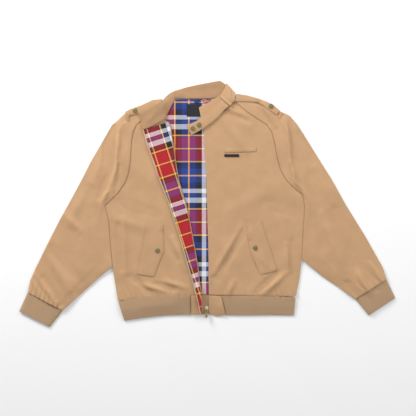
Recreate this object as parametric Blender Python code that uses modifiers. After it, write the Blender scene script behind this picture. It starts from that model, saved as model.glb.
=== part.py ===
"""Harrington jacket, laid flat on its back with the right front turned back.

+Z is up, and the jacket's underside lies on z = 0. +X runs towards the wearer's left sleeve
and +Y towards the collar. Outlines are in millimetres, and each piece is made in metres.
The pieces are laid down in the order in which they lie on each other: a new piece rests on
whatever is already under it, so every layer clears the one below by the same gap.
"""

import math

import bpy
import bmesh
from mathutils import Vector
from mathutils.bvhtree import BVHTree

MM = 0.001

# Cloth thicknesses and clearances, in millimetres.
SHELL = 1.2          # cotton twill shell
LINING = 1.0         # checked lining, labels and tape
RIB = 1.6            # knitted hem and cuffs
COLLAR = 2.0         # two layers of shell with interlining
TRIM = 1.4           # flaps, straps and epaulettes, two pressed layers
GAP = 0.35           # between a layer and the one under it
SEAM = 0.2           # each edge is drawn in by this much, so seams stay open
FOLD_GAP = 1.2       # inside the turned-back front
LOFT = 2.6           # how far a sleeve's upper layer stands off its lower one
FRONT_LOFT = 1.6     # the same on the fronts

# Zip and snaps, in millimetres.
SNAP_RADIUS = 7.0
SNAP_HEIGHT = 2.2
SLIDER = (8.4, 11.0, 3.0)
SLIDER_AT = (-2.9, -310.0)
AXIS_RISE = 1.1      # the pull tab's axis above the slider's top
BRIDGE_WIRE = 0.55   # radius of the bridge's wire
TAB_LENGTH = 20.5
TAB_THICK = 1.2
TAPE_WIDTH = 3.6

COLOURS = {
    "shell": ((0.57, 0.36, 0.19), 0.85, 0.0),
    "rib": ((0.48, 0.31, 0.17), 0.9, 0.0),
    "lining": ((0.30, 0.02, 0.05), 0.8, 0.0),
    "tape": ((0.68, 0.58, 0.36), 0.85, 0.0),
    "brass": ((0.26, 0.21, 0.10), 0.45, 0.9),
    "label": ((0.01, 0.01, 0.012), 0.7, 0.0),
}

# Seams that two pieces share, from the hem up to the neck. Columns: x, y.
SIDE_LEFT = [(256, -268), (267, -215), (273, -159), (276, -110), (279, -55), (283, -10)]
RAGLAN_LEFT = [(277, 26), (252, 46), (228, 70), (212, 99), (202, 137), (196, 172), (187, 209),
               (172, 230), (149, 244), (116, 266), (82, 295)]
SIDE_RIGHT = [(-259, -281), (-268, -228), (-275, -182), (-282, -113), (-286, -51), (-298, -4)]
RAGLAN_RIGHT = [(-262, 29), (-240, 61), (-231, 84), (-225, 117), (-223, 143), (-221, 180),
                (-216, 208), (-206, 230), (-187, 245), (-150, 263)]

# The open fronts, from the hem to the neck. Columns: x, y.
LEFT_EDGE = [(4, -263), (3, -215), (3, -160), (2, -110), (0, -55), (-1, -10), (-2, 20), (-3, 45), (-3, 69),
             (-4, 100), (-6, 130), (-8, 152), (-9, 172), (-10, 186), (-10, 198), (-11, 207),
             (-12, 217)]
TURN_LINE = [(-17, -262), (-24, -222), (-28, -180), (-40, -112), (-52, -48), (-63, 0),
             (-73, 33), (-82, 62), (-87, 88), (-92, 120), (-95, 145), (-100, 176),
             (-103, 194), (-105, 210), (-107, 224), (-113, 237)]
FREE_EDGE = [(-34, -262), (-44, -226), (-57, -182), (-76, -112), (-96, -50), (-112, -1),
             (-125, 33), (-136, 62), (-145, 84), (-156, 118), (-165, 143), (-175, 172),
             (-180, 190), (-183, 200), (-186, 207), (-188, 214)]

# The turned-back strip runs on over the hem's end panel to a narrow tip. Columns: x, y.
HEM_TURN_LINE = [(-15, -318), (-16, -288), (-16.5, -272)]
HEM_FREE_EDGE = [(-22, -318), (-28, -288), (-31.5, -272)]

# Outer edges of the sleeves, neck to cuff, one point for each row of the sleeve. Columns: x, y.
SLEEVE_LEFT_OUTER = [(86, 319), (116, 313), (158, 300), (194, 284), (212, 268), (238, 256),
                     (259, 232), (282, 196), (307, 156), (333, 114), (352, 84), (368, 57),
                     (397, 4), (429, -48), (461, -100), (490, -152), (508, -184), (518, -218)]
SLEEVE_RIGHT_OUTER = [(-131, 303), (-190, 285), (-222, 274), (-240, 261),
                      (-259, 243), (-276, 229), (-295, 196), (-315, 161), (-336, 125),
                      (-367, 64), (-399, 5), (-428, -47), (-455, -100), (-480, -151),
                      (-498, -187), (-513, -222), (-520, -256)]

# Pleat outside each front sleeve seam, one row for each row of the sleeve's upper part.
# Columns: x, y of the fold's edge, height of the fold.
PLEAT_LEFT = [(84, 307, 0), (116, 290, 0), (154, 272, 0), (186, 254, 0), (205, 240, 0.8),
              (232, 234, 2.2), (240, 196, 3.0), (245, 150, 3.2), (249, 118, 3.2), (256, 80, 3.2),
              (268, 52, 3.0), (294, 22, 2.4)]
PLEAT_RIGHT = [(-141, 283, 0), (-200, 262, 0), (-219, 248, 0.8),
               (-232, 240, 1.6), (-259, 222, 2.6), (-264, 186, 3.0), (-266, 150, 3.2),
               (-268, 118, 3.2), (-272, 80, 3.2), (-289, 38, 3.0), (-307, 10, 2.4)]
PLEAT_FOOT = 3.0     # width of the step down beyond the fold's edge

# Where the sleeves' lower edges leave the body's sides, on to the cuffs. Columns: x, y.
UNDERARM_LEFT = [(331, -208), (380, -241), (428, -275)]
UNDERARM_RIGHT = [(-314, -214), (-367, -262), (-419, -309)]

made = {}            # finished pieces: name -> BVH tree in millimetres


def finish_material(kind):
    """Principled material for one kind of cloth or metal, made once."""
    material = bpy.data.materials.get(kind)
    if material is None:
        colour, roughness, metallic = COLOURS[kind]
        material = bpy.data.materials.new(kind)
        material.use_nodes = True
        shader = material.node_tree.nodes["Principled BSDF"]
        shader.inputs["Base Color"].default_value = (*colour, 1.0)
        shader.inputs["Roughness"].default_value = roughness
        shader.inputs["Metallic"].default_value = metallic
    return material


def record(obj):
    """Keep the finished piece's surface, in millimetres, for what is laid on it later."""
    graph = bpy.context.evaluated_depsgraph_get()
    mesh = obj.evaluated_get(graph).to_mesh()
    corners = [obj.matrix_world @ v.co / MM for v in mesh.vertices]
    made[obj.name] = BVHTree.FromPolygons(corners, [tuple(p.vertices) for p in mesh.polygons])


def add_piece(name, mesh, kind, location=(0, 0, 0)):
    """Link a mesh as one named piece of the jacket. The location is in millimetres."""
    obj = bpy.data.objects.new(name, mesh)
    obj.location = Vector(location) * MM
    mesh.materials.append(finish_material(kind))
    jacket.objects.link(obj)
    bpy.context.view_layer.update()
    return obj


def top_under(x, y, reach):
    """Height of the highest surface within reach of a point, or None over bare floor."""
    ring = [(math.cos(k * math.pi / 4), math.sin(k * math.pi / 4)) for k in range(8)]
    steps = [(0, 0)] + [(a * r, b * r) for a, b in ring for r in (reach, reach / 2, reach / 4)]
    heights = []
    for step_x, step_y in steps:
        start = Vector((x + step_x, y + step_y, 100.0))
        for tree in made.values():
            hit = tree.ray_cast(start, Vector((0, 0, -1)))[0]
            if hit is not None:
                heights.append(hit.z)
    return max(heights) if heights else None


def divide(stops, counts):
    """Points along one row: each stretch between two stops is cut into its count of cells."""
    points = [Vector(stops[0])]
    for start, end, count in zip(stops, stops[1:], counts):
        points += [Vector(start).lerp(Vector(end), (step + 1) / count) for step in range(count)]
    return points


def draw_in(grid):
    """Draw a sheet's four edges in by the seam allowance, so that it clears its neighbours."""
    for row in grid:
        for edge, inner in ((0, 1), (-1, -2)):
            row[edge] = row[edge] + (row[inner] - row[edge]).normalized() * SEAM
    for edge, inner in ((0, 1), (-1, -2)):
        for column in range(len(grid[0])):
            step = grid[inner][column] - grid[edge][column]
            grid[edge][column] = grid[edge][column] + step.normalized() * SEAM
    return grid


def settle(grid, thick, loft, reach):
    """Give each point of a flat grid the height at which the sheet's middle lies.

    The third value of a point is what its place stands above the layer below.
    """
    rows, columns = len(grid), len(grid[0])
    heights = [[0.0] * columns for _ in range(rows)]
    for r, row in enumerate(grid):
        for c, point in enumerate(row):
            below = top_under(point.x, point.y, reach)
            heights[r][c] = 0.0 if below is None else below + GAP
    for _ in range(2):
        level = [line[:] for line in heights]
        for r in range(1, rows - 1):
            for c in range(1, columns - 1):
                around = (level[r - 1][c] + level[r + 1][c] + level[r][c - 1] + level[r][c + 1]) / 4
                heights[r][c] = max(level[r][c], around)
    for r, row in enumerate(grid):
        for c, point in enumerate(row):
            rise = loft * math.sin(math.pi * c / (columns - 1)) ** 2
            row[c] = Vector((point.x, point.y, heights[r][c] + point.z + rise + thick / 2))
    return grid


def sheet_mesh(name, grid):
    """Turn rows of points, in millimetres, into an open grid mesh in metres."""
    rows, columns = len(grid), len(grid[0])
    bm = bmesh.new()
    bmesh.ops.create_grid(bm, x_segments=columns - 1, y_segments=rows - 1, size=1.0)
    for vert in bm.verts:
        c = round((vert.co.x + 1) / 2 * (columns - 1))
        r = round((vert.co.y + 1) / 2 * (rows - 1))
        vert.co = grid[r][c] * MM
    mesh = bpy.data.meshes.new(name)
    bm.to_mesh(mesh)
    bm.free()
    mesh.shade_smooth()
    return mesh


def add_sheet(name, grid, kind, thick):
    """A cloth wall: the open sheet thickened evenly to both sides."""
    obj = add_piece(name, sheet_mesh(name, grid), kind)
    wall = obj.modifiers.new("wall", "SOLIDIFY")
    wall.thickness = thick * MM
    wall.offset = 0.0
    record(obj)
    return obj


def lay(name, rows, counts, kind, thick, loft=0.0, reach=9.0):
    """Lay a sheet on what is already there. Each row is a list of (x, y) or (x, y, lift)."""
    grid = [divide([(*stop, 0)[:3] for stop in row], counts) for row in rows]
    return add_sheet(name, settle(draw_in(grid), thick, loft, reach), kind, thick)


def lay_folded(name, rows, counts, kind, thick, loft, reach):
    """Lay a sheet that runs out to a turn line and comes back on top of itself.

    Each row has three stops: the seam, the turn line and the free edge.
    """
    lower_rows = [[(*row[0], 0), (*row[1], 0)] for row in rows]
    upper_rows = [[(*row[1], 0), (*row[2], 0)] for row in rows]
    lower = settle(draw_in([divide(row, counts[:1]) for row in lower_rows]), thick, loft, reach)
    upper = draw_in([divide(row, counts[1:]) for row in upper_rows])
    first = [point for row in lower for point in row]
    width = len(lower[0])
    cells = [(r * width + c, r * width + c + 1, (r + 1) * width + c + 1, (r + 1) * width + c)
             for r in range(len(lower) - 1) for c in range(width - 1)]
    tree = BVHTree.FromPolygons(first, cells)
    spacing = thick + FOLD_GAP
    for row, base in zip(upper, lower):
        turn = base[-1]
        out = (turn - base[-2]).to_2d().normalized()
        for c, point in enumerate(row):
            probe = Vector((point.x - out.x * 0.5, point.y - out.y * 0.5, 100.0))
            hit = tree.ray_cast(probe, Vector((0, 0, -1)))[0]
            level = turn.z if hit is None or c == 0 else hit.z
            row[c] = Vector((point.x, point.y, level + spacing))
        row[0] = Vector((turn.x, turn.y, turn.z + spacing))
    grid = []
    for row, base in zip(upper, lower):
        turn = base[-1]
        out = (turn - base[-2]).to_2d().normalized()
        curl = []
        for angle in (45, 90, 135):
            reach_out = spacing / 2 * math.sin(math.radians(angle))
            height = turn.z + spacing / 2 * (1 - math.cos(math.radians(angle)))
            curl.append(Vector((turn.x + out.x * reach_out, turn.y + out.y * reach_out, height)))
        grid.append(base + curl + row)
    return add_sheet(name, grid, kind, thick)


def along(start, end, share):
    """Point part of the way from one (x, y) to another."""
    return tuple(a + (b - a) * share for a, b in zip(start, end))


def strip(points_a, points_b):
    """Rows of a sheet between two edges that have a point each for every row."""
    return [[a, b] for a, b in zip(points_a, points_b)]


def sleeve_inner(seam, sides, under):
    """Inner edge of a sleeve, neck to cuff: raglan seam, body side, then its own lower edge."""
    body = [point for point in reversed(sides) if point[1] > -200]
    return list(reversed(seam)) + body + under


def make_backs():
    """The layers on the floor: back, back of both sleeves and back of the hem rib."""
    rows = [
        [(-258, -281), (-178, -264), (255, -268)],
        [(-268, -228), (-170, -222), (266, -215)],
        [(-275, -182), (-170, -178), (273, -159)],
        [(-282, -113), (-170, -108), (276, -110)],
        [(-286, -51), (-170, -50), (279, -55)],
        [(-298, -4), (-170, -6), (283, -10)],
        [(-262, 29), (-160, 28), (277, 26)],
        [(-231, 84), (-150, 80), (228, 70)],
        [(-223, 143), (-140, 130), (202, 137)],
        [(-221, 180), (-130, 180), (196, 172)],
        [(-206, 230), (-120, 232), (172, 230)],
        [(-150, 263), (-110, 268), (116, 266)],
        [(-118, 292), (-95, 300), (80, 296)],
        [(-94, 307), (-60, 305), (58, 310)],
    ]
    lay("back", rows, (2, 6), "shell", SHELL)
    lay("sleeve_back_left", strip(SLEEVE_LEFT_INNER, SLEEVE_LEFT_OUTER), (4,), "shell", SHELL)
    lay("sleeve_back_right", strip(SLEEVE_RIGHT_INNER, SLEEVE_RIGHT_OUTER), (4,), "shell", SHELL)
    rib = [[(-258, -283), (-241, -338)], [(-178, -266), (-150, -324)], [(-48, -264), (-48, -320)],
           [(100, -264), (100, -320)], [(255, -270), (251, -323)]]
    lay("hem_rib_back", rib, (2,), "rib", RIB)


def make_cuff(name, top, bottom):
    """A knitted tube pressed flat: rings from the sleeve's end to the wrist."""
    rings = []
    for share in (-0.02, 0.5, 1.0):
        start = Vector(along(top[0], bottom[0], share))
        end = Vector(along(top[1], bottom[1], share))
        across = (end - start).normalized()
        start, end = start + across, end - across
        low, high = RIB / 2, RIB / 2 + RIB + LOFT * 0.6
        ring = [(start.lerp(end, s), low) for s in (0.04, 0.35, 0.65, 0.96)]
        ring += [(end, (low + high) / 2)]
        ring += [(start.lerp(end, s), high) for s in (0.96, 0.65, 0.35, 0.04)]
        ring += [(start, (low + high) / 2)]
        rings.append([Vector((point.x, point.y, height)) for point, height in ring])
    bm = bmesh.new()
    loops = [[bm.verts.new(point * MM) for point in ring] for ring in rings]
    for one, two in zip(loops, loops[1:]):
        for k in range(len(one)):
            n = (k + 1) % len(one)
            bm.faces.new((one[k], one[n], two[n], two[k]))
    bmesh.ops.recalc_face_normals(bm, faces=bm.faces)
    mesh = bpy.data.meshes.new(name)
    bm.to_mesh(mesh)
    bm.free()
    obj = add_piece(name, mesh, "rib")
    wall = obj.modifiers.new("wall", "SOLIDIFY")
    wall.thickness = RIB * MM
    wall.offset = 0.0
    record(obj)


def make_lining():
    """Back lining between the fronts, with the neck label and the hanger loop on it."""
    rows = [
        [(-45, -262), (30, -262)], [(-60, -180), (35, -180)], [(-75, -110), (35, -110)],
        [(-95, -40), (32, -40)], [(-110, 30), (28, 30)], [(-118, 100), (24, 100)],
        [(-125, 170), (20, 170)], [(-128, 215), (30, 215)], [(-122, 255), (50, 255)],
        [(-104, 290), (58, 288)], [(-93, 303), (28, 303)],
    ]
    lay("back_lining", rows, (4,), "lining", LINING)
    lay("neck_label", [[(-60, 253), (-21, 253)], [(-60, 289), (-21, 289)]], (2,), "label", LINING)
    lay("hanger_loop", [[(-38, 292), (14, 292)], [(-38, 300), (14, 300)]], (3,), "lining", LINING)


def make_fronts():
    """Both fronts, the front sleeve pieces with their pleats, and the ribs below them."""
    edge = SIDE_LEFT + RAGLAN_LEFT
    lay("front_left", strip(LEFT_EDGE, edge), (8,), "shell", SHELL, FRONT_LOFT, 26)
    rows = [list(row) for row in zip(SIDE_RIGHT + RAGLAN_RIGHT, TURN_LINE, FREE_EDGE)]
    lay_folded("front_right", rows, (8, 2), "shell", SHELL, FRONT_LOFT, 26)
    for side, inner, pleats, outer in (
            ("left", SLEEVE_LEFT_INNER, PLEAT_LEFT, SLEEVE_LEFT_OUTER),
            ("right", SLEEVE_RIGHT_INNER, PLEAT_RIGHT, SLEEVE_RIGHT_OUTER)):
        rows = []
        for k, (start, end) in enumerate(zip(inner, outer)):
            x, y, rise = pleats[k] if k < len(pleats) else (*along(start, end, 0.2), 0)
            length = math.dist((x, y), end)
            foot = along((x, y), end, PLEAT_FOOT / length)
            rows.append([(*start, 0), (x, y, rise), (*foot, 0), (*end, 0)])
        lay(f"sleeve_front_{side}", rows, (2, 1, 4), "shell", SHELL, LOFT)
    rib = [[(-258, -283), (-241, -338)], [(-220, -275.5), (-205, -332)], [(-178, -267), (-150, -325)],
           [(-110, -264), (-105, -322)], [(-49, -264), (-49, -320)]]
    lay("hem_rib_right", rib, (2,), "rib", RIB, FRONT_LOFT, 26)
    rib = [[(41, -265), (54, -322)], [(120, -266), (120, -322)], [(200, -267), (200, -321)],
           [(255, -271), (251, -323)]]
    lay("hem_rib_left", rib, (2,), "rib", RIB, FRONT_LOFT)
    end = [[(4, -265), (4, -319)], [(20, -265), (28, -325)], [(40, -266), (53, -322)]]
    lay("hem_end_left", end, (2,), "shell", SHELL, FRONT_LOFT)
    fold = [[(-47.5, -320), (-16, -320), (-20, -320)], [(-47.5, -292), (-16.5, -292), (-26, -292)],
            [(-47.5, -264), (-17, -264), (-34, -264)]]
    lay_folded("hem_end_right", fold, (2, 2), "shell", SHELL, FRONT_LOFT, 9)


def make_turned_strip():
    """What the turned-back front shows: its lining, and the zip tape along the free edge."""
    tape, lining = [], []
    for free, turn in zip(HEM_FREE_EDGE + FREE_EDGE, HEM_TURN_LINE + TURN_LINE):
        length = math.dist(free, turn)
        inner = along(free, turn, TAPE_WIDTH / length)
        tape.append([free, inner])
        lining.append([inner, along(turn, free, 0.8 / length)])
    lay("zip_tape_right", tape, (1,), "tape", LINING, 0, 11)
    lay("front_right_lining", lining, (2,), "lining", LINING, 0, 9)


def make_shoulders():
    """Epaulettes from the collar to the sleeve heads, each with a keeper loop."""
    rows = [[(84, 319), (80, 297)], [(116, 314), (113, 296)], [(148, 305), (145, 294)],
            [(170, 297), (161, 285)], [(192, 286), (180, 271)], [(209, 271), (200, 257)]]
    lay("epaulette_left", rows, (3,), "shell", TRIM, 0.6, 20)
    rows = [[(-131, 304), (-140, 282)], [(-160, 300), (-168, 272)], [(-192, 285), (-196, 262)],
            [(-222, 275), (-221, 256)], [(-238, 266), (-234, 252)]]
    lay("epaulette_right", rows, (3,), "shell", TRIM, 0.6, 20)
    lay("keeper_left", [[(211, 268), (204, 250)], [(217, 264), (209, 247)]], (3,), "shell", SHELL,
        0, 5)
    lay("keeper_right", [[(-227, 262), (-227, 241)], [(-234, 262), (-234, 241)]], (3,), "shell",
        SHELL, 0, 5)


def make_collar():
    """Band collar, seen inside at the back and right end and outside at the left end."""
    inner = [[(53, 346), (48, 318)], [(46, 351), (35, 311)], [(37, 357), (27, 308)], [(18, 354), (5, 306)],
             [(-25, 346), (-21, 305)], [(-60, 338), (-60, 305)], [(-96, 327), (-92, 308)],
             [(-108, 321), (-98, 296)], [(-120, 311), (-107, 279)], [(-130, 298), (-115, 262)],
             [(-146, 286), (-125, 245)], [(-166, 274), (-145, 233)], [(-184, 267), (-166, 222)],
             [(-199, 261), (-187, 215)]]
    lay("collar_inner", inner, (3,), "shell", COLLAR, 0.8, 15)
    outer = [[(55, 350), (81, 322)], [(49, 334), (78, 297)], [(38, 316), (61, 283)],
             [(10, 298), (38, 261)], [(-8, 288), (14, 238)], [(-25, 279), (-12, 217)]]
    lay("collar_outer", outer, (3,), "shell", COLLAR, 0.8, 15)
    strap = [[(-60, 228), (-47, 199)], [(-45, 234), (-31, 207)], [(-30, 241), (-14, 217)],
             [(-8, 259), (12, 235)], [(6, 272), (27, 248)], [(20, 285), (43, 264)],
             [(39, 303), (61, 283)]]
    lay("throat_strap", strap, (3,), "shell", TRIM, 0.4, 20)
    loop = [[(35, 311), (41, 317)], [(50, 297), (57, 303)], [(65, 284), (71, 290)]]
    lay("strap_loop", loop, (1,), "shell", SHELL, 0, 6)


def make_pockets():
    """Slanted flaps, the chest welt and the small woven strip under it."""
    rows = [[(154, -204), (203, -192)], [(138, -170), (191, -156)], [(124, -138), (179, -119)],
            [(115, -86), (166, -80)], [(114, -58), (155, -46)]]
    lay("pocket_flap_left", rows, (3,), "shell", TRIM, 0.5, 9)
    rows = [[(-205, -203), (-155, -211)], [(-197, -165), (-138, -165)],
            [(-190, -128), (-126, -136)], [(-183, -90), (-127, -90)], [(-178, -59), (-128, -59)]]
    lay("pocket_flap_right", rows, (3,), "shell", TRIM, 0.5, 9)
    lay("chest_welt", [[(49, 149), (141, 152)], [(49, 161), (141, 165)]], (3,), "shell", TRIM, 0, 7)
    lay("label_strip", [[(49, 136), (92, 136)], [(49, 144), (92, 144)]], (2,), "label", LINING)


def make_snap(name, x, y):
    """A domed snap cap: a turned profile standing on the cloth."""
    profile = [(0.0, 1.0), (0.55, 0.92), (0.86, 0.62), (1.0, 0.25), (1.0, 0.0), (0.0, 0.0)]
    bm = bmesh.new()
    verts = [bm.verts.new((px * SNAP_RADIUS * MM, 0, pz * SNAP_HEIGHT * MM)) for px, pz in profile]
    for one, two in zip(verts, verts[1:]):
        bm.edges.new((one, two))
    mesh = bpy.data.meshes.new(name)
    bm.to_mesh(mesh)
    bm.free()
    obj = add_piece(name, mesh, "brass", (x, y, top_under(x, y, SNAP_RADIUS) + GAP))
    turn = obj.modifiers.new("turn", "SCREW")
    turn.steps = turn.render_steps = 16
    turn.use_merge_vertices = True
    turn.merge_threshold = 0.00005
    record(obj)


def add_box(name, size, at, kind):
    """A block with softly bevelled edges, centred on a point. Sizes in millimetres."""
    bm = bmesh.new()
    bmesh.ops.create_cube(bm, size=1.0)
    bmesh.ops.scale(bm, vec=Vector(size) * MM, verts=bm.verts)
    mesh = bpy.data.meshes.new(name)
    bm.to_mesh(mesh)
    bm.free()
    obj = add_piece(name, mesh, kind, at)
    soften = obj.modifiers.new("soften", "BEVEL")
    soften.width = 0.4 * MM
    soften.segments = 2
    record(obj)
    return obj


def make_zip_end():
    """End of the left tape, the slider on it, the slider's bridge and the pull tab."""
    x, y = SLIDER_AT
    tape = [[(x - 4.6, y - 10), (x + 5.5, y - 10)], [(x - 4.6, y + 14), (x + 5.5, y + 14)]]
    lay("zip_tape_left_end", tape, (1,), "tape", LINING, 0, 5)
    floor = top_under(x, y, 6) + GAP
    add_box("zip_slider", SLIDER, (x, y, floor + SLIDER[2] / 2), "brass")
    top = floor + SLIDER[2]
    axis = top + AXIS_RISE
    curve = bpy.data.curves.new("zip_bridge", "CURVE")
    curve.dimensions = "3D"
    curve.bevel_depth = BRIDGE_WIRE * MM
    curve.bevel_resolution = 2
    curve.use_fill_caps = True
    wire = curve.splines.new("POLY")
    foot, crest = top + 0.3, axis + 0.6 + 0.35 + BRIDGE_WIRE
    route = [(-3.2, foot), (-3.0, foot + 0.9), (-1.9, crest), (1.9, crest), (3.0, foot + 0.9),
             (3.2, foot)]
    wire.points.add(len(route) - 1)
    for point, (dy, z) in zip(wire.points, route):
        point.co = (x * MM, (y + dy) * MM, z * MM, 1)
    bridge = bpy.data.objects.new("zip_bridge", curve)
    curve.materials.append(finish_material("brass"))
    jacket.objects.link(bridge)
    outline = bpy.data.curves.new("pull_tab", "CURVE")
    outline.dimensions = "2D"
    outline.fill_mode = "BOTH"
    outline.extrude = TAB_THICK / 2 * MM
    rim = [(-2.4, 0.6), (2.4, 0.6), (2.5, -6), (3.4, -TAB_LENGTH + 5), (2.6, -TAB_LENGTH + 1.6),
           (0, -TAB_LENGTH + 0.6), (-2.6, -TAB_LENGTH + 1.6), (-3.4, -TAB_LENGTH + 5), (-2.5, -6)]
    eye = [(-1.2, -0.6), (-1.2, -4.6), (1.2, -4.6), (1.2, -0.6)]
    for corners in (rim, eye):
        ring = outline.splines.new("POLY")
        ring.points.add(len(corners) - 1)
        ring.use_cyclic_u = True
        for point, (px, py) in zip(ring.points, corners):
            point.co = (px * MM, py * MM, 0, 1)
    tab = bpy.data.objects.new("pull_tab", outline)
    tab.location = Vector((x, y, axis)) * MM
    outline.materials.append(finish_material("brass"))
    jacket.objects.link(tab)
    print("pull tab axis, mm:", x, y, round(axis, 3))


for old in list(bpy.context.scene.objects):
    bpy.data.objects.remove(old, do_unlink=True)
jacket = bpy.data.collections.new("harrington_jacket")
bpy.context.scene.collection.children.link(jacket)

SLEEVE_LEFT_INNER = sleeve_inner(RAGLAN_LEFT, SIDE_LEFT, UNDERARM_LEFT)
SLEEVE_RIGHT_INNER = sleeve_inner(RAGLAN_RIGHT, SIDE_RIGHT, UNDERARM_RIGHT)

make_backs()
make_cuff("cuff_left", [(519, -219), (429, -276)], [(544, -272), (467, -323)])
make_cuff("cuff_right", [(-521, -257), (-420, -311)], [(-545, -311), (-456, -356)])
make_lining()
make_fronts()
make_turned_strip()
make_shoulders()
make_collar()
make_pockets()
for snap_name, snap_x, snap_y in (
        ("snap_strap_outer", -42, 219), ("snap_strap_inner", -24, 229),
        ("snap_epaulette_left", 184, 283), ("snap_epaulette_right", -209, 270),
        ("snap_pocket_left", 139, -127), ("snap_pocket_right", -144, -135)):
    make_snap(snap_name, snap_x, snap_y)
make_zip_end()
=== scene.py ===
# %% [markdown]
# A harrington jacket laid flat, seen from straight above. The frame holds every sewn piece as a
# plain thin solid. This file gives each one its cloth: finer geometry with creases, a weave,
# stitches, and the checked lining that the turned-back front shows.

# %% Frame and helpers
import math

import bpy
import bmesh
import numpy as np
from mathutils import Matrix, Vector, noise
from mathutils.bvhtree import BVHTree


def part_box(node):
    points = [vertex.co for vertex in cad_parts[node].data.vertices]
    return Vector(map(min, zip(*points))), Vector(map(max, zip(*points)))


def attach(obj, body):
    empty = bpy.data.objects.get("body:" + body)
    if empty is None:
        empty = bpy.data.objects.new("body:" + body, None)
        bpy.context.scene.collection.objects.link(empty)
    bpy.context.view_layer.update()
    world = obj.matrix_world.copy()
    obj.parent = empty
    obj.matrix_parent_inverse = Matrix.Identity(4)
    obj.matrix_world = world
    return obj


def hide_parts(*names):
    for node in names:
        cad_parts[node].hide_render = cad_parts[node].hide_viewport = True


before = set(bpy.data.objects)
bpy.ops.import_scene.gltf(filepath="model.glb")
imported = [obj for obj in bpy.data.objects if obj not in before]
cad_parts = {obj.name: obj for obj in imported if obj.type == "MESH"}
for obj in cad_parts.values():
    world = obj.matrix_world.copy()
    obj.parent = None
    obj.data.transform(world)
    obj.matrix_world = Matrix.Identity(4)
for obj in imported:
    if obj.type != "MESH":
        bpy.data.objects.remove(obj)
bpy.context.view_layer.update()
MM = 0.001
BODY = "garment"

# %% [markdown]
# The camera looks straight down through a long lens, so that the jacket shows almost without
# perspective. Large soft lamps at a low angle bring out the creases, as in a studio.

# %% Camera, floor and lights
FRAME_WIDTH = 1.206
LENS = 110.0
view_centre = Vector((0.0017, -0.0119, 0.0))
camera_data = bpy.data.cameras.new("camera")
camera_data.lens = LENS
camera_data.sensor_width = 36.0
camera = bpy.data.objects.new("camera", camera_data)
camera.location = view_centre + Vector((0, 0, FRAME_WIDTH * LENS / 36.0))
bpy.context.scene.collection.objects.link(camera)
bpy.context.scene.camera = camera


def shader_material(name, colour, roughness, metallic=0.0, sheen=0.0):
    """A material with one Principled shader. Returns the material and the shader."""
    material = bpy.data.materials.new(name)
    material.use_nodes = True
    shader = material.node_tree.nodes["Principled BSDF"]
    shader.inputs["Base Color"].default_value = (*colour, 1)
    shader.inputs["Roughness"].default_value = roughness
    shader.inputs["Metallic"].default_value = metallic
    shader.inputs["Sheen Weight"].default_value = sheen
    return material, shader


bpy.ops.mesh.primitive_plane_add(size=12)
floor = bpy.context.object
floor.name = "floor"
floor.location.z = -0.0005
floor.data.materials.append(shader_material("paper_floor", (0.93, 0.93, 0.93), 0.9)[0])


def soft_lamp(name, at, size, power):
    """An area lamp that faces the jacket's middle."""
    data = bpy.data.lights.new(name, "AREA")
    data.size = size
    data.energy = power
    lamp = bpy.data.objects.new(name, data)
    lamp.location = at
    lamp.rotation_euler = (-Vector(at)).to_track_quat("-Z", "Y").to_euler()
    bpy.context.scene.collection.objects.link(lamp)


soft_lamp("window_lamp", (-1.7, 2.2, 1.1), 0.9, 92)
soft_lamp("fill_lamp", (2.0, 1.6, 1.5), 1.6, 42)
soft_lamp("top_lamp", (0.0, 0.3, 3.2), 3.0, 24)
world = bpy.data.worlds.new("studio")
world.use_nodes = True
world.node_tree.nodes["Background"].inputs["Color"].default_value = (1, 1, 1, 1)
world.node_tree.nodes["Background"].inputs["Strength"].default_value = 0.34
bpy.context.scene.world = world
bpy.context.scene.view_settings.view_transform = "Standard"
print("camera at", [round(v, 3) for v in camera.location])

# %% [markdown]
# Cotton twill is a fine diagonal weave. One node group makes it for every cloth: it gives a
# height for the bump and a slow mottling for the colour. The sizes are inputs, so that shell,
# tape and labels each set their own.

# %% Weave group


def new_group(name, inputs, outputs):
    """A shader node group with the given float inputs and outputs, and its two end nodes."""
    group = bpy.data.node_groups.new(name, "ShaderNodeTree")
    for label, kind, value in inputs:
        socket = group.interface.new_socket(label, in_out="INPUT", socket_type=kind)
        if value is not None:
            socket.default_value = value
    for label, kind in outputs:
        group.interface.new_socket(label, in_out="OUTPUT", socket_type=kind)
    start, end = group.nodes.new("NodeGroupInput"), group.nodes.new("NodeGroupOutput")
    return group, start, end


def math_node(tree, operation, a, b=None, c=None):
    """A Math node whose inputs are sockets or numbers. Returns its output socket."""
    node = tree.nodes.new("ShaderNodeMath")
    node.operation = operation
    for socket, value in zip(node.inputs, (a, b, c)):
        if isinstance(value, (int, float)):
            socket.default_value = value
        elif value is not None:
            tree.links.new(value, socket)
    return node.outputs[0]


weave_group, weave_in, weave_out = new_group(
    "twill_weave",
    [("Vector", "NodeSocketVector", None), ("Thread", "NodeSocketFloat", 0.0008),
     ("Mottle", "NodeSocketFloat", 0.08)],
    [("Height", "NodeSocketFloat"), ("Shade", "NodeSocketFloat")])
split = weave_group.nodes.new("ShaderNodeSeparateXYZ")
weave_group.links.new(weave_in.outputs["Vector"], split.inputs[0])
diagonal = math_node(weave_group, "ADD", split.outputs[0], split.outputs[1])
phase = math_node(weave_group, "DIVIDE", diagonal, weave_in.outputs["Thread"])
ridge = math_node(weave_group, "SINE", math_node(weave_group, "MULTIPLY", phase, math.tau))
cross = math_node(weave_group, "DIVIDE", split.outputs[1], weave_in.outputs["Thread"])
weft = math_node(weave_group, "SINE", math_node(weave_group, "MULTIPLY", cross, 1.6 * math.tau))
height = math_node(weave_group, "MULTIPLY_ADD", weft, 0.3, ridge)
weave_group.links.new(height, weave_out.inputs["Height"])
cloud = weave_group.nodes.new("ShaderNodeTexNoise")
cloud.inputs["Scale"].default_value = 26.0
cloud.inputs["Detail"].default_value = 6.0
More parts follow.
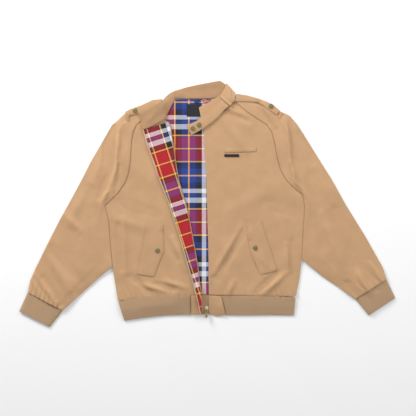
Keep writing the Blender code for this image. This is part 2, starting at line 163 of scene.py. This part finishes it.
weave_group.links.new(weave_in.outputs["Vector"], cloud.inputs["Vector"])
centred = math_node(weave_group, "SUBTRACT", cloud.outputs["Fac"], 0.5)
shade = math_node(weave_group, "MULTIPLY_ADD", centred, weave_in.outputs["Mottle"], 1.0)
weave_group.links.new(shade, weave_out.inputs["Shade"])


def cloth_material(name, colour, thread=0.0009, mottle=0.22, bump=0.00006, sheen=0.15):
    """Matt cloth: the weave's height goes to a bump, its shade to the colour."""
    material, shader = shader_material(name, colour, 0.88, sheen=sheen)
    tree = material.node_tree
    coords = tree.nodes.new("ShaderNodeTexCoord")
    weave = tree.nodes.new("ShaderNodeGroup")
    weave.node_tree = weave_group
    weave.inputs["Thread"].default_value = thread
    weave.inputs["Mottle"].default_value = mottle
    tree.links.new(coords.outputs["Object"], weave.inputs["Vector"])
    scale = tree.nodes.new("ShaderNodeVectorMath")
    scale.operation = "SCALE"
    scale.inputs[0].default_value = colour
    tree.links.new(weave.outputs["Shade"], scale.inputs["Scale"])
    tree.links.new(scale.outputs[0], shader.inputs["Base Color"])
    ripple = tree.nodes.new("ShaderNodeBump")
    ripple.inputs["Distance"].default_value = bump
    ripple.inputs["Strength"].default_value = 0.6
    tree.links.new(weave.outputs["Height"], ripple.inputs["Height"])
    tree.links.new(ripple.outputs[0], shader.inputs["Normal"])
    return material


shell_cloth = cloth_material("shell_twill", (0.515, 0.308, 0.160))
# The collar's inner face takes a darker copy of the shell twill: painted shade where the standing
# collar tilts back, away from the light.
collar_shaded_cloth = cloth_material("collar_twill_painted_shade", (0.40, 0.232, 0.118))
tape_cloth = cloth_material("cream_tape", (0.70, 0.60, 0.40), thread=0.0006)
label_cloth = cloth_material("black_label", (0.012, 0.012, 0.014), thread=0.0005)
thread_cloth = cloth_material("sewing_thread", (0.43, 0.26, 0.135), thread=0.0004)
print("cloths:", shell_cloth.name, collar_shaded_cloth.name, tape_cloth.name, label_cloth.name)

# %% [markdown]
# Rib knit is rows of upright ridges. A sine across the band gives them; the angle turns the
# ridges on each cuff so that they run from the sleeve to the wrist.

# %% Rib knit


def rib_material(name, angle):
    """Rib knit whose ridges stand at an angle to +Y, in degrees, with painted shade between the
    ridges.
    """
    material, shader = shader_material(name, (0.485, 0.315, 0.180), 0.92, sheen=0.2)
    tree = material.node_tree
    coords = tree.nodes.new("ShaderNodeTexCoord")
    turn = tree.nodes.new("ShaderNodeMapping")
    turn.inputs["Rotation"].default_value[2] = math.radians(-angle)
    tree.links.new(coords.outputs["Object"], turn.inputs["Vector"])
    axes = tree.nodes.new("ShaderNodeSeparateXYZ")
    tree.links.new(turn.outputs[0], axes.inputs[0])
    ridges = math_node(tree, "SINE", math_node(tree, "MULTIPLY", axes.outputs[0], math.tau / 0.0026))
    ripple = tree.nodes.new("ShaderNodeBump")
    ripple.inputs["Distance"].default_value = 0.00035
    tree.links.new(ridges, ripple.inputs["Height"])
    tree.links.new(ripple.outputs[0], shader.inputs["Normal"])
    # The colour follows the ridge sine too: lighter on the ridge tops, darker between them. This is
    # painted shade in the grooves, over the real bump.
    ridge_shade_mix = tree.nodes.new("ShaderNodeMix")
    ridge_shade_mix.data_type = "RGBA"
    tree.links.new(math_node(tree, "MULTIPLY_ADD", ridges, 0.5, 0.5), ridge_shade_mix.inputs[0])
    ridge_shade_mix.inputs[6].default_value = (0.43, 0.275, 0.155, 1)
    ridge_shade_mix.inputs[7].default_value = (0.52, 0.335, 0.192, 1)
    tree.links.new(ridge_shade_mix.outputs[2], shader.inputs["Base Color"])
    return material


rib_hem = rib_material("rib_hem", 0)
rib_cuff_left = rib_material("rib_cuff_left", 27)
rib_cuff_right = rib_material("rib_cuff_right", -27)
print("rib materials made")

# %% [markdown]
# The lining is a common red, blue, black and white check. Warp and weft have the same stripes,
# so one group reads the stripes twice, across and along, and mixes the two threads. The
# stripes are a short table: colour, and how far the stripe reaches into the repeat.

# %% Checked lining
REPEAT = 0.213
RED, BLUE, NAVY = (0.42, 0.004, 0.014), (0.012, 0.045, 0.25), (0.006, 0.012, 0.075)
BLACK, WHITE, YELLOW = (0.006, 0.006, 0.009), (0.72, 0.74, 0.80), (1.0, 0.48, 0.10)
STRIPES = [(WHITE, 12), (BLACK, 14.5), (BLUE, 22.5), (BLACK, 25), (WHITE, 40), (BLACK, 56.5),
           (YELLOW, 60.5), (BLACK, 62.5), (RED, 93), (BLACK, 94.5), (YELLOW, 98.5), (BLACK, 100),
           (RED, 130), (BLACK, 132), (YELLOW, 136), (BLACK, 144), (NAVY, 154), (BLUE, 172.5),
           (YELLOW, 176.5), (BLUE, 194), (NAVY, 202), (BLACK, 213)]

check_group, check_in, check_out = new_group(
    "check_weave", [("Across", "NodeSocketFloat", 0.0), ("Along", "NodeSocketFloat", 0.0)],
    [("Color", "NodeSocketColor"), ("Height", "NodeSocketFloat")])


def stripe_ramp(tree, distance):
    """Colour of the thread that lies this far across the repeat."""
    ramp = tree.nodes.new("ShaderNodeValToRGB")
    ramp.color_ramp.interpolation = "CONSTANT"
    stops = ramp.color_ramp.elements
    stops.remove(stops[1])
    begin = 0.0
    for k, (colour, reach) in enumerate(STRIPES):
        stop = stops[0] if k == 0 else stops.new(begin)
        stop.color = (*colour, 1)
        begin = reach * MM / REPEAT
    share = math_node(tree, "FRACT", math_node(tree, "DIVIDE", distance, REPEAT))
    tree.links.new(share, ramp.inputs[0])
    return ramp.outputs[0]


across, along = check_in.outputs["Across"], check_in.outputs["Along"]
twill = math_node(check_group, "SINE", math_node(
    check_group, "MULTIPLY", math_node(check_group, "ADD", across, along), math.tau / 0.0014))
over = math_node(check_group, "MULTIPLY_ADD", twill, 0.16, 0.5)
threads = check_group.nodes.new("ShaderNodeMix")
threads.data_type = "RGBA"
check_group.links.new(over, threads.inputs[0])
check_group.links.new(stripe_ramp(check_group, across), threads.inputs[6])
check_group.links.new(stripe_ramp(check_group, along), threads.inputs[7])
check_group.links.new(threads.outputs[2], check_out.inputs["Color"])
check_group.links.new(twill, check_out.inputs["Height"])


def check_material(name, angle, origin, signs):
    """Check turned by an angle, in degrees, about an origin, in mm, and read along two signs."""
    material, shader = shader_material(name, (0.2, 0.02, 0.05), 0.85, sheen=0.1)
    tree = material.node_tree
    coords = tree.nodes.new("ShaderNodeTexCoord")
    turn = tree.nodes.new("ShaderNodeMapping")
    turn.inputs["Rotation"].default_value[2] = math.radians(angle)
    tree.links.new(coords.outputs["Object"], turn.inputs["Vector"])
    axes = tree.nodes.new("ShaderNodeSeparateXYZ")
    tree.links.new(turn.outputs[0], axes.inputs[0])
    check = tree.nodes.new("ShaderNodeGroup")
    check.node_tree = check_group
    for label, axis, sign, start in zip(("Across", "Along"), (0, 1), signs, origin):
        shifted = math_node(tree, "MULTIPLY_ADD", axes.outputs[axis], sign, start * MM)
        tree.links.new(shifted, check.inputs[label])
    tree.links.new(check.outputs["Color"], shader.inputs["Base Color"])
    ripple = tree.nodes.new("ShaderNodeBump")
    ripple.inputs["Distance"].default_value = 0.00005
    tree.links.new(check.outputs["Height"], ripple.inputs["Height"])
    tree.links.new(ripple.outputs[0], shader.inputs["Normal"])
    return material


TURN = 17.8
turned = Vector((-188.0, 214.0))
cos_t, sin_t = math.cos(math.radians(TURN)), math.sin(math.radians(TURN))
turned_across = turned.x * cos_t + turned.y * sin_t
turned_along = -turned.x * sin_t + turned.y * cos_t
check_back = check_material("check_back", 0, (229, 257), (1, -1))
check_front = check_material("check_front", -TURN, (110 + turned_across, turned_along - 15),
                             (-1, -1))
print("stripes in the repeat:", len(STRIPES))

# %% [markdown]
# Cloth never lies flat. One relief function says how far the upper layers stand up at each
# place: soft ridges and troughs along the creases that are named in the table, gathers above
# each rib, and a slow unevenness. Flaps, straps and snaps read the same function, so they stay
# on the cloth that carries them.

# %% Creases
# Columns: start x, start y, end x, end y, height, half width. All in mm.
CREASES = [
    # left front
    (113, -63, 29, -213, -2.2, 9), (100, -70, 20, -200, 1.6, 10), (126, -108, 155, -155, -2.0, 5),
    (137, -120, 168, -178, 1.6, 6), (205, -200, 140, -258, -2.4, 8), (222, -205, 165, -258, 1.8, 8),
    (228, -118, 236, -195, 1.6, 8), (244, -110, 250, -200, -1.4, 7), (60, 236, 110, 150, 1.3, 12),
    (40, 228, 62, 150, -1.0, 9), (14, -215, 19, -262, -1.8, 5), (185, 40, 70, -20, 0.9, 22),
    (170, 5, 262, -30, -0.9, 16), (76, -225, 60, -262, 1.6, 8), (96, -232, 110, -262, -1.6, 7),
    (60, 278, 105, 252, 1.6, 8), (80, 262, 118, 238, -1.4, 7),
    # right front
    (-132, -82, -117, -113, -2.0, 5), (-117, -113, -85, -163, -2.2, 7),
    (-100, -100, -68, -190, 1.6, 9), (-258, -60, -250, -190, -1.6, 7),
    (-244, -40, -238, -200, 1.3, 8), (-221, -212, -166, -256, -2.0, 8),
    (-205, -232, -130, -250, 1.7, 8), (-150, -232, -100, -248, -1.8, 7),
    (-120, -224, -60, -244, 1.6, 7), (-262, 150, -170, 60, 0.9, 20), (-200, 175, -150, 110, -0.8, 15),
    (-255, 5, -150, -30, -1.0, 14), (-275, -40, -180, -70, 0.9, 14),
    # left sleeve
    (147, 290, 175, 231, -1.6, 6), (165, 288, 196, 226, 1.5, 7), (214, 262, 236, 190, 1.2, 7),
    (230, 171, 234, 119, -1.2, 4), (234, 119, 246, 66, -1.4, 4), (252, 68, 270, 44, 1.4, 5),
    (330, -30, 405, -215, 1.6, 14), (372, -20, 430, -190, -1.6, 13), (300, 20, 340, -120, -1.4, 15),
    (428, -190, 470, -262, 1.8, 7), (448, -180, 492, -250, -1.8, 7), (404, -225, 440, -268, -1.6, 6),
    (470, -172, 508, -226, 1.5, 6), (300, 120, 360, 10, 1.0, 16), (262, 200, 300, 120, -1.6, 10),
    # right sleeve
    (-258, 156, -255, 84, -1.4, 4), (-255, 84, -268, 28, -1.4, 4), (-290, 34, -300, 12, 1.5, 4),
    (-410, -32, -370, -78, 1.6, 10), (-440, -50, -385, -120, -1.5, 12),
    (-470, -135, -400, -250, 1.5, 11), (-450, -128, -368, -226, -1.6, 11),
    (-498, -205, -440, -282, 1.6, 7), (-476, -215, -424, -292, -1.8, 7),
    (-330, -20, -310, -170, -1.6, 14), (-345, 60, -400, -60, 1.1, 14), (-300, 150, -330, 60, 1.2, 12),
    (-288, 196, -300, 120, -1.4, 8), (-508, -215, -488, -262, 1.4, 5),
    # pleats outside the sleeve seams: the cloth beyond the fold lies deep under it
    (240, 234, 251, 160, -2.2, 8), (250, 170, 256, 110, -2.6, 8), (256, 120, 268, 66, -2.6, 8),
    (268, 66, 296, 30, -2.4, 7), (232, 216, 240, 120, 1.7, 6), (240, 120, 258, 62, 1.6, 6),
    (-272, 220, -276, 150, -2.4, 7), (-276, 160, -279, 96, -2.4, 7), (-280, 96, -314, 18, -2.2, 7),
    (-256, 214, -259, 120, 1.6, 6), (-260, 120, -276, 60, 1.5, 6),
    # collar and shoulders
    (-60, 318, 20, 334, -0.8, 7), (-92, 322, -90, 306, -1.2, 4), (-150, 262, -176, 236, 0.8, 9),
]
# Gathers above each rib. Columns: the rib seam's start x, y and end x, y, all in mm.
GATHERS = [(-259, -281, -178, -264), (-178, -264, -48, -263), (44, -264, 256, -268),
           (429, -276, 519, -219), (-520, -256, -420, -310)]
GATHER_PITCH, GATHER_REACH, GATHER_HEIGHT = 15.0, 24.0, 2.0
CREASE_DEPTH = 2.6   # the table's heights are multiplied by this
crease_table = np.array(CREASES, dtype=float)


def relief(x, y):
    """Height that the upper cloth gains at (x, y), in mm."""
    start, end = crease_table[:, 0:2], crease_table[:, 2:4]
    run = end - start
    length_sq = (run ** 2).sum(axis=1)
    share = np.clip(((x - start[:, 0]) * run[:, 0] + (y - start[:, 1]) * run[:, 1]) / length_sq, 0, 1)
    near = start + run * share[:, None]
    away = ((near[:, 0] - x) ** 2 + (near[:, 1] - y) ** 2) / crease_table[:, 5] ** 2
    fade = 0.35 + 0.65 * np.sin(math.pi * np.clip(share, 0.06, 0.94))
    total = CREASE_DEPTH * float((crease_table[:, 4] * np.exp(-away) * fade).sum())
    for x0, y0, x1, y1 in GATHERS:
        length = math.hypot(x1 - x0, y1 - y0)
        ux, uy = (x1 - x0) / length, (y1 - y0) / length
        place = (x - x0) * ux + (y - y0) * uy
        above = (y - y0) * ux - (x - x0) * uy
        if -5 < place < length + 5 and -2 < above < 4 * GATHER_REACH:
            jitter = 5.0 * noise.noise(Vector((place * 0.03, y0 * 0.1, 0.4)))
            wave = math.sin(math.tau * (place + jitter + above * 0.25) / GATHER_PITCH)
            size = 0.6 + noise.noise(Vector((place * 0.05, x0 * 0.1, 2.0)))
            total += GATHER_HEIGHT * size * wave * math.exp(-above / GATHER_REACH)
    total += 1.5 * noise.noise(Vector((x * 0.011, y * 0.011, 3.1)))
    total += 0.7 * noise.noise(Vector((x * 0.030, y * 0.024, 7.7)))
    return total


print("creases:", len(CREASES), "relief by the left snap:", round(relief(139, -127), 2), "mm")

# %% [markdown]
# Each sewn piece starts as a copy of its plain solid. Its vertices are merged, its long edges
# are cut until the cells are a few millimetres, its heights are smoothed, and then the relief
# lifts whatever lies above the bottom layer. The solid stays in the frame for the physics.

# %% Cloth pieces
FLAT_LEVEL = 1.6     # mm: below this the cloth lies on the floor and keeps flat
FULL_LEVEL = 3.2     # mm: above this the relief lifts the cloth in full
DEEPEST = -1.2       # mm: no trough sinks the cloth further than this
CUT_ROUNDS = 7       # edges are halved at most this many times
SMOOTH_ROUNDS = 4    # rounds of height smoothing
FINE = 0.0055        # m: longest edge of a finished cell


def cloth_piece(node, material):
    """The finished cloth of one frame node. Returns the new object."""
    bm = bmesh.new()
    bm.from_mesh(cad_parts[node].data)
    bmesh.ops.remove_doubles(bm, verts=bm.verts, dist=1e-6)
    bmesh.ops.join_triangles(bm, faces=bm.faces, angle_face_threshold=0.7,
                             angle_shape_threshold=3.0, cmp_seam=False, cmp_sharp=False,
                             cmp_uvs=False, cmp_vcols=False, cmp_materials=False)
    for _ in range(CUT_ROUNDS):
        long_edges = [edge for edge in bm.edges if edge.calc_length() > FINE]
        if not long_edges:
            break
        bmesh.ops.subdivide_edges(bm, edges=long_edges, cuts=1, use_grid_fill=True)
    for _ in range(SMOOTH_ROUNDS):
        level = {v: sum(e.other_vert(v).co.z for e in v.link_edges) / len(v.link_edges)
                 for v in bm.verts}
        for vert, z in level.items():
            vert.co.z = z * 0.5 + vert.co.z * 0.5
    for vert in bm.verts:
        z = vert.co.z / MM
        weight = min(max((z - FLAT_LEVEL) / (FULL_LEVEL - FLAT_LEVEL), 0.0), 1.0)
        if weight:
            up = relief(vert.co.x / MM, vert.co.y / MM)
            vert.co.z += max(up, DEEPEST) * weight * MM
    mesh = bpy.data.meshes.new(node + "_cloth")
    bm.to_mesh(mesh)
    bm.free()
    mesh.shade_smooth()
    mesh.set_sharp_from_angle(angle=math.radians(50))
    piece = bpy.data.objects.new(node + "_cloth", mesh)
    bpy.context.scene.collection.objects.link(piece)
    mesh.materials.append(material)
    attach(piece, BODY)
    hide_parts(node)
    return piece


def cut_size(piece):
    """Plan width and length of a thin piece as it lies, and half its surface: no fold is undone."""
    mesh = piece.data
    points = np.empty(len(mesh.vertices) * 3)
    mesh.vertices.foreach_get("co", points)
    plan = points.reshape(-1, 3)[:, :2]
    axes = np.linalg.svd(plan - plan.mean(axis=0), full_matrices=False)[2]
    spans = np.ptp(plan @ axes.T, axis=0)
    area = sum(face.area for face in mesh.polygons) / 2
    return float(spans[1]), float(spans[0]), float(area)


SHEETS = {
    "back": shell_cloth, "sleeve_back_left": shell_cloth, "sleeve_back_right": shell_cloth,
    "hem_rib_back": rib_hem, "back_lining": check_back, "neck_label": label_cloth,
    "hanger_loop": check_front, "front_left": shell_cloth, "front_right": shell_cloth,
    "sleeve_front_left": shell_cloth, "sleeve_front_right": shell_cloth,
    "hem_rib_right": rib_hem, "hem_rib_left": rib_hem, "hem_end_left": shell_cloth,
    "hem_end_right": shell_cloth, "zip_tape_right": tape_cloth,
    "front_right_lining": check_front, "epaulette_left": shell_cloth,
    "epaulette_right": shell_cloth, "keeper_left": shell_cloth, "keeper_right": shell_cloth,
    "collar_inner": collar_shaded_cloth, "collar_outer": shell_cloth, "throat_strap": shell_cloth,
    "strap_loop": shell_cloth, "pocket_flap_left": shell_cloth, "pocket_flap_right": shell_cloth,
    "chest_welt": shell_cloth, "label_strip": label_cloth, "zip_tape_left_end": tape_cloth,
    "cuff_left": rib_cuff_left, "cuff_right": rib_cuff_right,
}
NARROWEST_SHEET = 0.0105     # m: narrower bands are trim and not sheets
# This alters zip_tape_right, a narrow curve, and hem_end_right, which curls.
LEAST_SHARE, MOST_SHARE = 0.31, 0.99
cloth = {}
for node, material in SHEETS.items():
    cloth[node] = cloth_piece(node, material)
    width, length, area = cut_size(cloth[node])
    if width < NARROWEST_SHEET:
        continue
    if node.startswith("cuff"):
        length *= 2          # a tube pressed flat was cut twice as wide
    area = min(max(area, LEAST_SHARE * width * length), MOST_SHARE * width * length)
print("cloth pieces:", len(cloth), "triangles:",
      sum(len(face.vertices) - 2 for piece in cloth.values() for face in piece.data.polygons))

# %% [markdown]
# What is sewn or riveted on top needs the cloth's own height. A search tree over the upper
# pieces answers that for any place.

# %% Height of the finished cloth
trees = []
for node, piece in cloth.items():
    corners = [v.co.copy() for v in piece.data.vertices]
    trees.append(BVHTree.FromPolygons(corners, [tuple(f.vertices) for f in piece.data.polygons]))


def cloth_top(x, y):
    """Height of the highest cloth at (x, y), in mm."""
    start = Vector((x * MM, y * MM, 0.1))
    hits = [tree.ray_cast(start, Vector((0, 0, -1)))[0] for tree in trees]
    heights = [hit.z / MM for hit in hits if hit is not None]
    return max(heights) if heights else 0.0


print("cloth at the chest welt:", round(cloth_top(95, 157), 2), "mm")

# %% [markdown]
# Topstitching is a run of short thread dashes along each seam. A Geometry Nodes tree samples
# the seam at the stitch pitch and sets one dash on each point. Its inputs are the pitch and
# the thread's size, and the instances are made real because the export drops instances.

# %% Stitch tree


def group_socket(tree, label, value):
    """A named float input of a Geometry Nodes tree."""
    socket = tree.interface.new_socket(label, in_out="INPUT", socket_type="NodeSocketFloat")
    socket.default_value = value
    return socket


def along_curve_tree(name, dash, inputs, material):
    """A tree that sets a small solid on each step along a curve, turned with the curve."""
    tree = bpy.data.node_groups.new(name, "GeometryNodeTree")
    tree.interface.new_socket("Geometry", in_out="INPUT", socket_type="NodeSocketGeometry")
    for label, value in inputs.items():
        group_socket(tree, label, value)
    tree.interface.new_socket("Geometry", in_out="OUTPUT", socket_type="NodeSocketGeometry")
    make, link = tree.nodes.new, tree.links.new
    start, end = make("NodeGroupInput"), make("NodeGroupOutput")
    steps = make("GeometryNodeCurveToPoints")
    steps.mode = "LENGTH"
    link(start.outputs["Geometry"], steps.inputs["Curve"])
    link(start.outputs["Pitch"], steps.inputs["Length"])
    size = make("ShaderNodeCombineXYZ")
    for axis, label in zip("XYZ", ("Width", "Height", "Length")):
        link(start.outputs[label], size.inputs[axis])
    solid = make(dash)
    if dash == "GeometryNodeMeshCube":
        link(size.outputs[0], solid.inputs["Size"])
        shape = solid.outputs["Mesh"]
    else:
        solid.inputs["Subdivisions"].default_value = 1
        solid.inputs["Radius"].default_value = 0.5
        sized = make("GeometryNodeTransform")
        link(solid.outputs["Mesh"], sized.inputs["Geometry"])
        link(size.outputs[0], sized.inputs["Scale"])
        shape = sized.outputs["Geometry"]
    place = make("GeometryNodeInstanceOnPoints")
    link(steps.outputs["Points"], place.inputs["Points"])
    link(shape, place.inputs["Instance"])
    link(steps.outputs["Rotation"], place.inputs["Rotation"])
    real = make("GeometryNodeRealizeInstances")
    link(place.outputs[0], real.inputs[0])
    paint = make("GeometryNodeSetMaterial")
    paint.inputs["Material"].default_value = material
    link(real.outputs[0], paint.inputs["Geometry"])
    link(paint.outputs[0], end.inputs[0])
    return tree


stitch_tree = along_curve_tree("stitch_run", "GeometryNodeMeshIcoSphere",
                               {"Pitch": 0.0032, "Width": 0.0007, "Height": 0.0005,
                                "Length": 0.0024}, thread_cloth)


GUIDE_STEP = 6.0     # mm: spacing of a guide's points


def run_along(name, runs, tree, raise_mm):
    """Lay curves on the cloth, run a tree along them and keep the result as one plain mesh."""
    curve = bpy.data.curves.new(name, "CURVE")
    curve.dimensions = "3D"
    for run in runs:
        points = []
        for (x0, y0), (x1, y1) in zip(run, run[1:]):
            count = max(1, round(math.hypot(x1 - x0, y1 - y0) / GUIDE_STEP))
            points += [(x0 + (x1 - x0) * k / count, y0 + (y1 - y0) * k / count)
                       for k in range(count)]
        points.append(run[-1])
        spline = curve.splines.new("POLY")
        spline.points.add(len(points) - 1)
        for point, (x, y) in zip(spline.points, points):
            point.co = (x * MM, y * MM, (cloth_top(x, y) + raise_mm) * MM, 1)
    guide = bpy.data.objects.new(name + "_guide", curve)
    bpy.context.scene.collection.objects.link(guide)
    nodes = guide.modifiers.new("run", "NODES")
    nodes.node_group = tree
    graph = bpy.context.evaluated_depsgraph_get()
    mesh = bpy.data.meshes.new_from_object(guide.evaluated_get(graph))
    bpy.data.objects.remove(guide)
    piece = bpy.data.objects.new(name, mesh)
    bpy.context.scene.collection.objects.link(piece)
    mesh.shade_smooth()
    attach(piece, BODY)
    return piece


# %% [markdown]
# Each run below follows one seam or edge of the finished cloth. The routes are drawn in plan, a
# few points each, and run_along gives each point the height of the cloth below it.

# %% Seams and stitches
RAGLAN_LEFT = [(116, 268), (149, 246), (172, 232), (187, 211), (198, 172), (204, 137), (214, 99),
               (230, 70), (254, 46), (276, 29)]
RAGLAN_RIGHT = [(-206, 229), (-214, 207), (-219, 180), (-221, 143), (-223, 117), (-229, 84),
                (-238, 62), (-260, 31), (-292, 0)]
STITCH_RUNS = {
    "stitches_raglan": [RAGLAN_LEFT, [(x - 2.4, y - 1.6) for x, y in RAGLAN_LEFT],
                        RAGLAN_RIGHT, [(x + 2.6, y - 1.0) for x, y in RAGLAN_RIGHT]],
    "stitches_front_left": [[(8, -316), (10, -215), (9, -160), (7, -75), (5, -10), (4, 69), (2, 130),
                             (-2, 198), (-3, 214)]],
    "stitches_flap_left": [[(153, -49), (118, -60), (119, -88), (128, -137), (155, -199),
                            (199, -189), (163, -82), (153, -49)]],
    "stitches_flap_right": [[(-131, -62), (-175, -62), (-186, -128), (-201, -200), (-157, -207),
                             (-130, -136), (-131, -62)]],
    "stitches_welt": [[(50, 150), (50, 159)], [(140, 153), (140, 163)], [(50, 146), (140, 150)]],
    "stitches_collar": [[(45, 348), (18, 350), (-25, 342), (-60, 334), (-94, 323)],
                        [(-128, 293), (-146, 281), (-166, 269), (-194, 257), (-184, 219)],
                        [(38, 312), (10, 293), (-8, 283), (-21, 275), (-16, 262)]],
    "stitches_strap": [[(58, 285), (43, 267), (27, 251), (12, 238), (-14, 220), (-46, 203),
                        (-56, 227), (-30, 237), (-8, 255), (20, 281), (38, 299)]],
    "stitches_epaulettes": [[(86, 316), (116, 310), (147, 302), (171, 293), (191, 283), (206, 270),
                             (199, 259), (180, 274), (161, 288), (145, 297), (113, 299)],
                            [(-190, 282), (-221, 272), (-235, 264), (-232, 255), (-221, 259),
                             (-198, 265)]],
    "stitches_hem": [[(7, -268), (38, -268)], [(7, -316), (50, -319)], [(-54, -260), (-100, -260),
                     (-176, -261), (-256, -277)], [(44, -261), (120, -261), (253, -264)]],
}
STITCH_RISE = 0.05   # mm: how far a stitch stands on the cloth
for name, runs in STITCH_RUNS.items():
    run_along(name, runs, stitch_tree, STITCH_RISE)
print("stitch runs:", sum(len(runs) for runs in STITCH_RUNS.values()))

# %% [markdown]
# The zip's teeth are small moulded blocks on the free edge of the tape. The same kind of tree
# sets them, with a block in place of the thread dash.

# %% Zip teeth, slider and snaps
brass, _ = shader_material("antique_brass", (0.235, 0.195, 0.10), 0.42, metallic=0.85)
dark_brass, _ = shader_material("dark_brass", (0.30, 0.22, 0.11), 0.35, metallic=0.9)
teeth_tree = along_curve_tree("teeth_run", "GeometryNodeMeshCube",
                              {"Pitch": 0.0026, "Width": 0.0022, "Height": 0.0012,
                               "Length": 0.0013}, tape_cloth)
FREE_EDGE = [(-20, -318), (-34, -262), (-44, -226), (-57, -182), (-76, -112), (-96, -50),
             (-112, -1), (-125, 33), (-145, 84), (-165, 143), (-180, 190), (-187, 212)]
TEETH_INSET, TEETH_RISE = 1.4, 0.3   # mm: from the free edge, and above the tape
run_along("zip_teeth_right", [[(x + TEETH_INSET, y) for x, y in FREE_EDGE]], teeth_tree,
          TEETH_RISE)

SNAPS = {"snap_strap_outer": (-42, 219), "snap_strap_inner": (-24, 229),
         "snap_epaulette_left": (184, 283), "snap_epaulette_right": (-209, 270),
         "snap_pocket_left": (139, -127), "snap_pocket_right": (-144, -135)}
# Turned profile of a snap cap. Columns: share of the radius, height in mm.
SNAP_PROFILE = [(0.0, 1.25), (0.42, 1.2), (0.50, 0.95), (0.62, 0.95), (0.74, 1.35), (0.88, 1.3),
                (0.98, 0.8), (1.0, 0.2), (0.98, -0.9), (0.0, -0.9)]
for node, (x, y) in SNAPS.items():
    bm = bmesh.new()
    low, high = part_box(node)
    radius = (high[0] - low[0]) / 2
    ring = [bm.verts.new((share * radius, 0, h * MM)) for share, h in SNAP_PROFILE]
    edges = [bm.edges.new(pair) for pair in zip(ring, ring[1:])]
    bmesh.ops.spin(bm, geom=ring + edges, cent=(0, 0, 0), axis=(0, 0, 1), angle=math.tau,
                   steps=40, use_duplicate=False)
    bmesh.ops.remove_doubles(bm, verts=bm.verts, dist=1e-6)
    bmesh.ops.recalc_face_normals(bm, faces=bm.faces)
    top = max(cloth_top(x + dx, y + dy) for dx in (-4, 0, 4) for dy in (-4, 0, 4))
    bmesh.ops.translate(bm, vec=((low[0] + high[0]) / 2, (low[1] + high[1]) / 2, (top + 0.1) * MM),
                        verts=bm.verts)
    mesh = bpy.data.meshes.new(node + "_cap")
    bm.to_mesh(mesh)
    bm.free()
    mesh.shade_smooth()
    mesh.set_sharp_from_angle(angle=math.radians(40))
    mesh.materials.append(brass)
    cap = bpy.data.objects.new(node + "_cap", mesh)
    bpy.context.scene.collection.objects.link(cap)
    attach(cap, BODY)
    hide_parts(node)
for node in ("zip_slider", "zip_bridge", "pull_tab"):
    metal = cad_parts[node]
    metal.data.materials.clear()
    metal.data.materials.append(dark_brass)
print("snaps:", len(SNAPS), "teeth and slider done")
